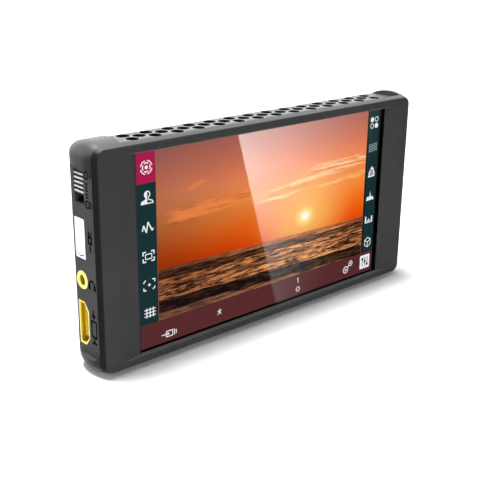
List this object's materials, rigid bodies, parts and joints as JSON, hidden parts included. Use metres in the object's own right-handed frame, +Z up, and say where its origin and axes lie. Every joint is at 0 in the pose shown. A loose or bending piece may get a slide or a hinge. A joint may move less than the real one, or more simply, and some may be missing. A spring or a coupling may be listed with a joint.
{
  "type": "camera field monitor",
  "caption": "Slim camera field monitor with a touch screen, side sockets, a touch-lock slider, top vents, a rear battery plate and a tripod socket underneath.",
  "frame": {"origin": "centre of the tripod socket's mouth, on the flat land that the monitor stands on", "axes": "+X to the right as the viewer faces the screen, the screen looks towards -Y, +Z up"},
  "size_m": [0.1476, 0.0236, 0.076],
  "materials": {
    "housing_plastic": "fine-textured dark grey moulded plastic",
    "frame_plastic": "smooth dark grey moulded plastic",
    "plate_plastic": "fine-textured black moulded plastic",
    "touch_glass": "polished cover glass",
    "black_tape": "black adhesive ring",
    "gasket_black": "black foam gasket",
    "cell": "liquid crystal cell with a lit picture",
    "backlight_white": "white moulded light guide frame",
    "sheet_steel": "pressed sheet steel",
    "screw_steel": "blackened screw steel",
    "ribbon": "amber ribbon cable",
    "circuit_board": "green circuit board",
    "chip_black": "moulded chip packages",
    "pad_grey": "soft thermal pad",
    "sink_aluminium": "extruded aluminium",
    "slider_grey": "grey ridged slider",
    "switch_metal": "plated switch case",
    "knob_white": "white switch knob",
    "socket_nickel": "bright nickel-plated sheet",
    "socket_white": "white insulator",
    "plug_white": "white moulded dust plug",
    "jack_yellow": "yellow moulded ring",
    "jack_dark": "ochre moulded jack body",
    "hdmi_yellow": "yellow-plated sheet",
    "hdmi_ochre": "ochre insulator",
    "button_plastic": "dark push-button",
    "plunger_black": "switch plunger",
    "dc_black": "moulded power socket",
    "contact_brass": "plated contact metal",
    "insert_steel": "threaded steel insert",
    "terminal_black": "moulded terminal block",
    "lead_red": "insulated leads",
    "spring_steel": "spring steel"
  },
  "bodies": {
    "housing": {"front_frame": "frame_plastic", "rear_shell": "housing_plastic", "touch_glass": "touch_glass", "glass_tape": "black_tape", "cell_gasket": "gasket_black", "lcd_cell": "cell", "backlight": "backlight_white", "screen_bracket": "sheet_steel", "bracket_screws": "screw_steel", "display_flex": "ribbon", "touch_flex": "ribbon", "main_board": "circuit_board", "board_screws": "screw_steel", "board_chips": "chip_black", "thermal_pad": "pad_grey", "heat_sink": "sink_aluminium", "lock_switch": "switch_metal", "usb_shell": "socket_nickel", "usb_tongue": "socket_white", "usb_dust_plug": "plug_white", "jack_bush": "jack_yellow", "jack_body": "jack_dark", "hdmi_shell": "hdmi_yellow", "hdmi_tongue": "hdmi_ochre", "power_switch": "switch_metal", "dc_socket": "dc_black", "dc_pin": "contact_brass", "tripod_insert": "insert_steel", "battery_plate": "plate_plastic", "plate_screws": "screw_steel", "battery_terminal": "terminal_black", "battery_contacts": "contact_brass", "battery_leads": "lead_red", "latch_spring": "spring_steel", "case_screws": "screw_steel"},
    "touch_lock": {"lock_slider": "slider_grey", "lock_switch_knob": "knob_white"},
    "power_button": {"power_button": "button_plastic", "power_switch_plunger": "plunger_black"},
    "battery_latch": {"battery_latch": "button_plastic"}
  },
  "joints": [
    {"name": "touch_lock_slide", "type": "slide", "parent": "housing", "child": "touch_lock", "axis": [0, 0, -1], "range_m": [0, 0.0025]},
    {"name": "power_button_press", "type": "slide", "parent": "housing", "child": "power_button", "axis": [-1, 0, 0], "range_m": [0, 0.0005], "stiffness_N_per_m": 400, "springref_m": -0.001},
    {"name": "battery_latch_press", "type": "slide", "parent": "housing", "child": "battery_latch", "axis": [0, -1, 0], "range_m": [0, 0.0018], "stiffness_N_per_m": 400, "springref_m": -0.001, "deforming": ["latch_spring"]}
  ]
}
